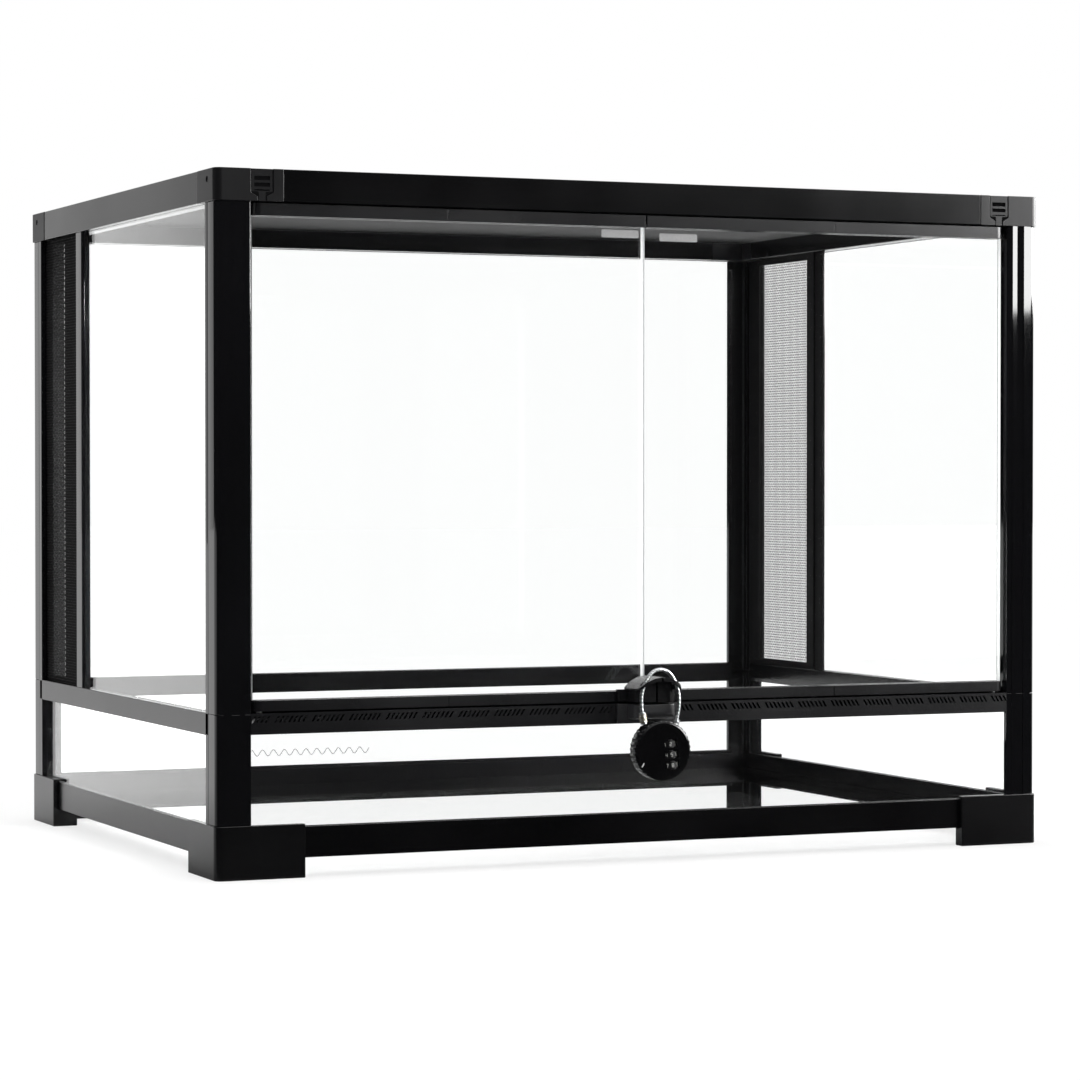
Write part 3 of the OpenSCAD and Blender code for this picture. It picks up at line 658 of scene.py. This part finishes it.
def door_trim():
    """Lips behind the doors' strips, and the inner walls of the upper front posts."""
    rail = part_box("vent_rail")[1]
    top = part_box("top_rail_front")[0]
    back, front = FRONT + LIP_V[1], FRONT + LIP_V[0]
    low_lip = [
        ((-LIP_END, rail.y - 0.5 * MM, rail.z - 1.5 * MM), (LIP_END, back, rail.z)),
        ((-LIP_END, front, rail.z - 1.0 * MM), (LIP_END, back, rail.z + 3.6 * MM)),
    ]
    blocks_piece("vent_rail_lip", low_lip, "case", STRIP_BLACK, 0.2 * MM)
    top_lip = [((-LIP_END, front, top.z - 4.8 * MM), (LIP_END, back, top.z + 1.0 * MM))]
    blocks_piece("top_rail_lip", top_lip, "case", STRIP_BLACK, 0.2 * MM)
    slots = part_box("vent_rail")
    screen = [((-LIP_END, slots[1].y + 0.05 * MM, slots[0].z + 1 * MM), (LIP_END, slots[1].y + 0.6 * MM, slots[1].z - 2 * MM))]
    blocks_piece("vent_rail_screen", screen, "case", VENT_FRAME, 0)
    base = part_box("bottom_rail_back")[1]
    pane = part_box("lower_glass_back")[0]
    bead = [((-LIP_END, pane.y - 1.5 * MM, base.z), (LIP_END, pane.y, base.z + BEAD_H))]
    blocks_piece("base_seal_back", bead, "case", VENT_FRAME, 0.3 * MM)
    for side, word in ((-1, "left"), (1, "right")):
        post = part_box("upper_post_front_" + word)
        x0, x1 = sorted((side * abs(post[0].x if side < 0 else post[1].x), side * FLANGE_IN))
        edge = []
        for z0, z1 in ((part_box("lower_post_front_" + word)[0].z, post[0].z), (post[0].z, post[1].z)):
            edge.append(((x0, FRONT + POST_DEPTH, z0), (x1, FRONT + POST_DEPTH + FLANGE_W, z1)))
            edge.append(((x0, BACK - POST_DEPTH - FLANGE_W, z0), (x1, BACK - POST_DEPTH, z1)))
        blocks_piece("post_flange_" + word, edge, "case", GLOSS_BLACK, 0.3 * MM)
        x0, x1 = sorted(side * x for x in POST_INNER_WALL)
        wall = [((x0, FRONT + POST_WALL_V[0], post[0].z), (x1, FRONT + POST_WALL_V[1], post[1].z))]
        blocks_piece("post_wall_" + word, wall, "case", GLOSS_BLACK, 0.3 * MM)


SCREW_R = 1.7 * MM
SCREW_Y = 0.016
SCREW_DROP = 0.0065
SCREW_SEAT = 1.15 * MM
CROSS_HALF = 0.28 * MM
CROSS_REACH = 1.0 * MM


def add_screw_head(bm, middle, out):
    """A domed round head with a cross recess, as rings of points whose height follows the form."""
    across = Y
    up = Z
    rings = []
    radii = [SCREW_R * k / 8 for k in range(1, 9)]
    sides = 32
    for r in radii:
        ring = []
        for k in range(sides):
            a = 2 * math.pi * k / sides
            u, v = r * math.cos(a), r * math.sin(a)
            in_cross = min(abs(u), abs(v)) < CROSS_HALF and r < CROSS_REACH
            height = 0.75 * MM * math.sqrt(max(0.0, 1 - (r / SCREW_R) ** 2 * 0.8)) - (0.45 * MM if in_cross else 0)
            ring.append(bm.verts.new(middle + across * u + up * v + out * height))
        rings.append(ring)
    centre = bm.verts.new(middle + out * 0.3 * MM)
    for k in range(sides):
        bm.faces.new((centre, rings[0][k], rings[0][(k + 1) % sides]))
        for a, b in zip(rings, rings[1:]):
            bm.faces.new((a[k], b[k], b[(k + 1) % sides], a[(k + 1) % sides]))
    foot = [bm.verts.new(middle + (v.co - middle) - out * (v.co - middle).dot(out)) for v in rings[-1]]
    for k in range(sides):
        bm.faces.new((rings[-1][k], foot[k], foot[(k + 1) % sides], rings[-1][(k + 1) % sides]))
    bm.faces.new(foot[::-1])


def corner_screws():
    for face, along in (("front", 1), ("back", -1)):
        for side, word in ((-1, "left"), (1, "right")):
            low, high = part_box("top_corner_%s_%s" % (face, word))
            y = low.y - 0.3 * MM + SCREW_Y if along > 0 else high.y + 0.3 * MM - SCREW_Y
            x = (high.x if side > 0 else low.x) - side * SCREW_SEAT
            bm = bmesh.new()
            add_screw_head(bm, Vector((x, y, high.z - SCREW_DROP)), X * side)
            finish_piece("screw_%s_%s" % (face, word), bm, "case", SCREW_DARK)


DIVIDER_BEVEL = (2.6 * MM, 5.0 * MM)
DIVIDER_BAR = 5.1 * MM
DIVIDER_FLANGE = 2.0 * MM


def add_prism(bm, outline, z0, z1):
    """A closed upright prism over a flat outline of (x, y) points."""
    rings = [[bm.verts.new((x, y, z)) for x, y in outline] for z in (z0, z1)]
    bm.faces.new(rings[0][::-1])
    bm.faces.new(rings[1])
    for k in range(len(outline)):
        j = (k + 1) % len(outline)
        bm.faces.new((rings[0][k], rings[0][j], rings[1][j], rings[1][k]))


def side_divider(side, word):
    """Divider bar whose front edge slants back to the pane, with the core and flange behind it."""
    low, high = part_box("divider_" + word)
    middle = high.y - 8.5 * MM
    outer, inner = (high.x, low.x) if side > 0 else (low.x, high.x)
    bar = outer - side * DIVIDER_BAR
    flange = inner + side * DIVIDER_FLANGE
    front, back = middle - 7 * MM, middle + 7 * MM
    bm = bmesh.new()
    slant = bar + side * DIVIDER_BEVEL[0]
    add_prism(bm, [(outer, front), (slant, front), (bar, front + DIVIDER_BEVEL[1]), (bar, back), (outer, back)], low.z, high.z)
    piece = finish_piece("divider_bar_" + word, bm, "case", GLOSS_BLACK)
    soften(piece, 0.4 * MM)
    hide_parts("divider_" + word)
    spans = ((bar, flange, middle - 3 * MM, middle + 3 * MM), (flange, inner, middle - 3 * MM, high.y))
    blocks = [((min(x0, x1), y0, low.z), (max(x0, x1), y1, high.z)) for x0, x1, y0, y1 in spans]
    core = blocks_piece("divider_core_" + word, blocks, "case", VENT_FRAME, 0.3 * MM)
    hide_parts("divider_" + word)


# Slanted bands down the front of each post: where each starts and ends, from the middle of the case
BANDS = ((0.2801, 0.2838), (0.2890, 0.2946))
BAND_SLOPE = 0.09


def post_bands(side, word):
    bm = bmesh.new()
    for level in ("upper", "lower"):
        low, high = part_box("%s_post_front_%s" % (level, word))
        for a, b in BANDS:
            rise = (b - a) * BAND_SLOPE
            add_prism(bm, [(side * a, low.y + 0.1 * MM), (side * a, low.y - rise), (side * b, low.y), (side * b, low.y + 0.1 * MM)],
                      low.z, high.z)
    bmesh.ops.recalc_face_normals(bm, faces=bm.faces[:])
    finish_piece("post_bands_" + word, bm, "case", GLOSS_BLACK)


door_trim()
corner_screws()
post_bands(-1, "left")
post_bands(1, "right")
side_divider(-1, "left")
side_divider(1, "right")
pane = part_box("side_glass_right")
divider_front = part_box("divider_right")[1].y - 11.5 * MM
seal = [((pane[0].x - 0.9 * MM, divider_front - 12.5 * MM, pane[0].z), (pane[0].x, divider_front, pane[1].z))]
blocks_piece("side_seal_right", seal, "case", VENT_FRAME, 0.2 * MM)


# --- Print and film ----------------------------------------------------------------------------


def add_ribbon(bm, points, normals, width, thickness):
    """A flat closed strip along points, standing out from the surface along the normals."""
    rings = []
    for i, (point, normal) in enumerate(zip(points, normals)):
        ahead = points[min(i + 1, len(points) - 1)] - points[max(i - 1, 0)]
        side = ahead.cross(normal).normalized() * (width / 2)
        lift = normal * thickness
        rings.append([bm.verts.new(p) for p in (point - side, point + side, point + side + lift, point - side + lift)])
    for a, b in zip(rings, rings[1:]):
        for k in range(4):
            bm.faces.new((a[k], a[(k + 1) % 4], b[(k + 1) % 4], b[k]))
    bm.faces.new(rings[0][::-1])
    bm.faces.new(rings[-1])


WAVE_X = (-0.2744, -0.1950)
WAVE_Z = 0.080
WAVE_RISE = 1.9 * MM
WAVE_LENGTH = 7.3 * MM
INK_T = 0.04 * MM


def level_wave():
    """The wavy line of the highest water level, without its words."""
    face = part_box("lower_glass_front")[0].y
    steps = 220
    points = []
    for k in range(steps + 1):
        x = WAVE_X[0] + (WAVE_X[1] - WAVE_X[0]) * k / steps
        z = WAVE_Z + WAVE_RISE * math.cos(2 * math.pi * (x - WAVE_X[0]) / WAVE_LENGTH)
        points.append(Vector((x, face, z)))
    bm = bmesh.new()
    add_ribbon(bm, points, [-Y] * len(points), 0.5 * MM, INK_T)
    finish_piece("level_wave", bm, "case", WAVE_GREY)


LABELS = (("left", (-0.0308, 0.4135), (-0.0039, 0.4187)), ("right", (0.0115, 0.4120), (0.0393, 0.4172)))
LABEL_R = 0.8 * MM


def blank_labels():
    """The small blank labels at the top of the two doors, with rounded corners."""
    for word, low, high in LABELS:
        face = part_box("door_glass_" + word)[0].y
        outline = []
        for cx, cz, start in ((high[0], high[1], 0), (low[0], high[1], 90), (low[0], low[1], 180), (high[0], low[1], 270)):
            mx = cx - LABEL_R if cx == high[0] else cx + LABEL_R
            mz = cz - LABEL_R if cz == high[1] else cz + LABEL_R
            for step in range(7):
                a = math.radians(start + 15 * step)
                outline.append((mx + LABEL_R * math.cos(a), mz + LABEL_R * math.sin(a)))
        bm = bmesh.new()
        back = [bm.verts.new((x, face, z)) for x, z in outline]
        front = [bm.verts.new((x, face - INK_T, z)) for x, z in outline]
        bm.faces.new(back)
        bm.faces.new(front[::-1])
        for k in range(len(outline)):
            j = (k + 1) % len(outline)
            bm.faces.new((back[k], front[k], front[j], back[j]))
        finish_piece("label_" + word, bm, word + "_door", LABEL_FILM)


level_wave()
blank_labels()


# --- Padlock -----------------------------------------------------------------------------------

LOCK = Matrix.Translation((0, FRONT - 0.020, 0.0754)) @ Matrix.Rotation(math.radians(-7), 4, "Y")
DIAL_X = 0.0053
DIAL_R = 0.0059
DIAL_Z = (("top", 0.0036, 2), ("middle", -0.0034, 5), ("bottom", -0.0104, 8))
DIGIT_W = 1.2 * MM
DIGIT_H = 2.2 * MM
DIGIT_LINE = 0.34 * MM
# Strokes of the ten digits on a box one wide and two high
STROKES = (
    ((0, 0), (1, 0), (1, 2), (0, 2), (0, 0)),
    ((0.1, 1.6), (0.55, 2), (0.55, 0)),
    ((0, 2), (1, 2), (1, 1), (0, 1), (0, 0), (1, 0)),
    ((0, 2), (1, 2), (1, 1), (0.3, 1), (1, 1), (1, 0), (0, 0)),
    ((0, 2), (0, 0.9), (1, 0.9), (1, 2), (1, 0)),
    ((1, 2), (0, 2), (0, 1.1), (1, 1.1), (1, 0), (0, 0)),
    ((1, 2), (0, 2), (0, 0), (1, 0), (1, 1), (0, 1)),
    ((0, 2), (1, 2), (0.4, 0)),
    ((0, 1), (0, 0), (1, 0), (1, 2), (0, 2), (0, 1), (1, 1)),
    ((0, 0), (1, 0), (1, 2), (0, 2), (0, 1), (1, 1)),
)


def dial_numbers():
    """White digits round each dial, ten to a turn."""
    for word, height, shown in DIAL_Z:
        bm = bmesh.new()
        for digit, strokes in enumerate(STROKES):
            middle = math.radians(36 * (digit - shown))
            for (u0, w0), (u1, w1) in zip(strokes, strokes[1:]):
                points, normals = [], []
                for k in range(4):
                    u, w = u0 + (u1 - u0) * k / 3, w0 + (w1 - w0) * k / 3
                    turn = middle + (u - 0.5) * DIGIT_W / DIAL_R
                    out = Vector((math.sin(turn), -math.cos(turn), 0))
                    place = Vector((DIAL_X, 0, height + (w - 1) * DIGIT_H / 2)) + out * DIAL_R
                    points.append(LOCK @ place)
                    normals.append(LOCK.to_3x3() @ out)
                add_ribbon(bm, points, normals, DIGIT_LINE, INK_T)
        finish_piece("dial_numbers_" + word, bm, word + "_dial", DIAL_WHITE)


GRIP_RIDGES = 36
GRIP_R = (18.6 * MM, 19.25 * MM, 19.75 * MM)
GRIP_Y = (-5.2 * MM, 5.2 * MM)


def padlock_grip():
    """Ring of rounded ridges round the padlock's rim."""
    bm = bmesh.new()
    steps = GRIP_RIDGES * 8
    rings = []
    for k in range(steps):
        turn = 2 * math.pi * k / steps
        crest = GRIP_R[1] + (GRIP_R[2] - GRIP_R[1]) * (0.5 + 0.5 * math.cos(GRIP_RIDGES * turn))
        ring = []
        for r, y in ((GRIP_R[0], GRIP_Y[0]), (crest, GRIP_Y[0]), (crest, GRIP_Y[1]), (GRIP_R[0], GRIP_Y[1])):
            ring.append(bm.verts.new(LOCK @ Vector((r * math.cos(turn), y, r * math.sin(turn)))))
        rings.append(ring)
    for k in range(steps):
        a, b = rings[k], rings[(k + 1) % steps]
        for i in range(4):
            j = (i + 1) % 4
            bm.faces.new((a[i], b[i], b[j], a[j]))
    bmesh.ops.recalc_face_normals(bm, faces=bm.faces[:])
    finish_piece("padlock_grip", bm, "padlock", LOCK_BLACK, smooth=True)


FERRULE_TOP = Vector((-0.01308, FRONT - 0.020, 0.1003))
FERRULE_END = Vector((-0.01186, FRONT - 0.020, 0.0928))
SPRING_R = 2.45 * MM
SPRING_WIRE = 0.3 * MM
SPRING_TURNS = 5


def ferrule_spring():
    """The small coil round the left ferrule."""
    axis = FERRULE_END - FERRULE_TOP
    side = Y
    other = axis.normalized().cross(side)
    path = []
    steps = 16 * SPRING_TURNS
    for k in range(steps + 1):
        a = 2 * math.pi * SPRING_TURNS * k / steps
        along = FERRULE_TOP + axis * (0.1 + 0.75 * k / steps)
        path.append(along + (side * math.cos(a) + other * math.sin(a)) * SPRING_R)
    bm = bmesh.new()
    add_tube(bm, path, SPRING_WIRE, 8)
    finish_piece("ferrule_spring", bm, "padlock", BRASS, smooth=True)


dial_numbers()
padlock_grip()
ferrule_spring()
